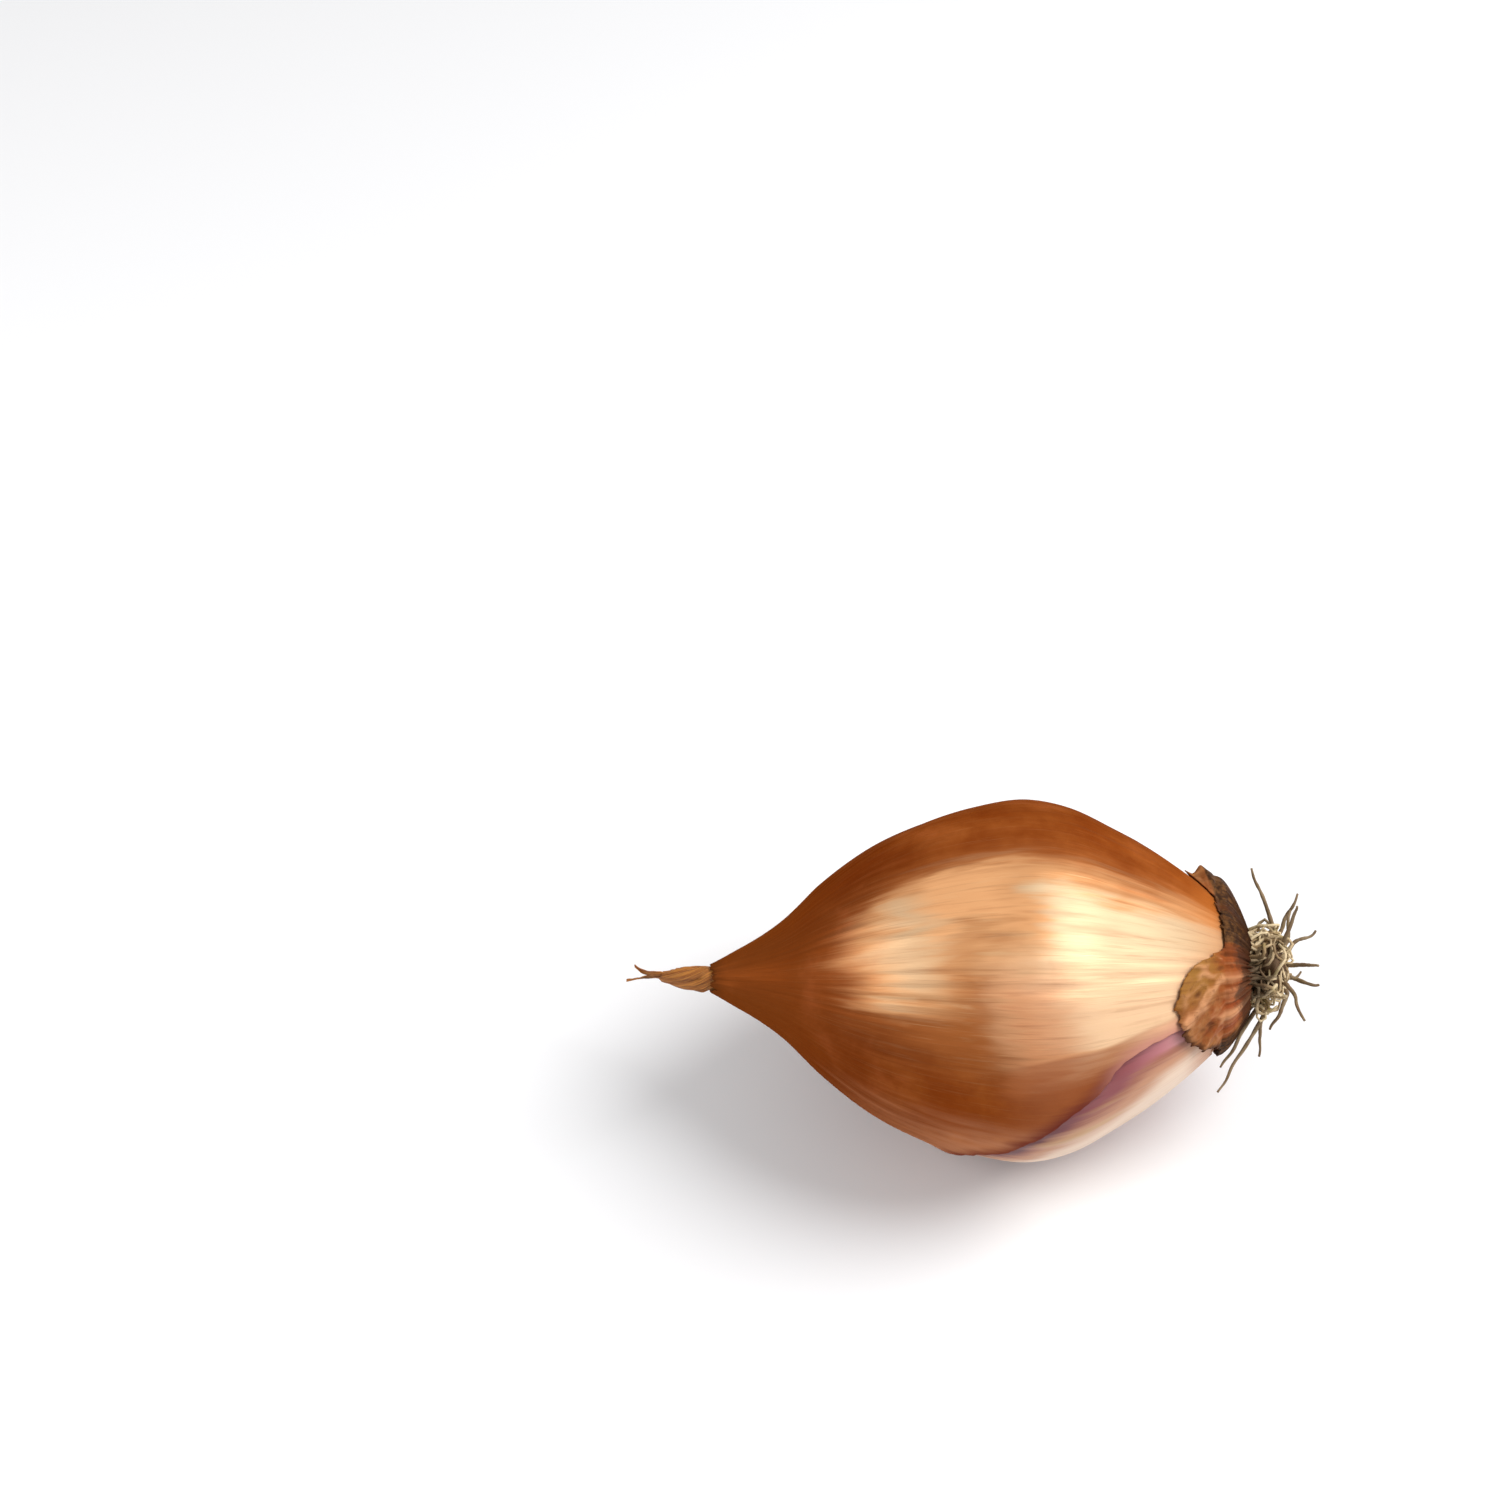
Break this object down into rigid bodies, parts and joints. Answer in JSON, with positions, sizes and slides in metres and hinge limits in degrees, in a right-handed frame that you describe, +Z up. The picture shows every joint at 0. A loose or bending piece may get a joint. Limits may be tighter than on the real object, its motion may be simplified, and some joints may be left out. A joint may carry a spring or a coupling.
{
  "type": "shallot",
  "caption": "Whole dry-skinned shallot lying on its side, with a torn papery outer skin, a matted tuft of dry roots and a withered, twisted neck.",
  "frame": {"origin": "bottom centre of the whole shallot's bounding box, on the surface that it rests on", "axes": "+Z up; X along the bulb's axis, with the roots at +X and the neck at -X; the torn place in the skin faces -Y"},
  "size_m": [0.08, 0.0424, 0.0408],
  "materials": {
    "flesh": "satin",
    "skin": "satin",
    "old_skin": "matte",
    "cork": "matte",
    "root": "matte",
    "neck": "matte"
  },
  "bodies": {
    "root": {"bulb": "flesh", "outer_skin": "skin", "root_collar": "old_skin", "root_plate": "cork", "root_mat": "root", "root_01": "root", "root_02": "root", "root_03": "root", "root_04": "root", "root_05": "root", "root_06": "root", "root_07": "root", "root_08": "root", "root_09": "root", "root_10": "root", "root_11": "root", "root_12": "root", "root_13": "root", "root_14": "root", "dry_neck": "neck", "leaf_tip_01": "neck", "leaf_tip_02": "neck"}
  },
  "joints": []
}
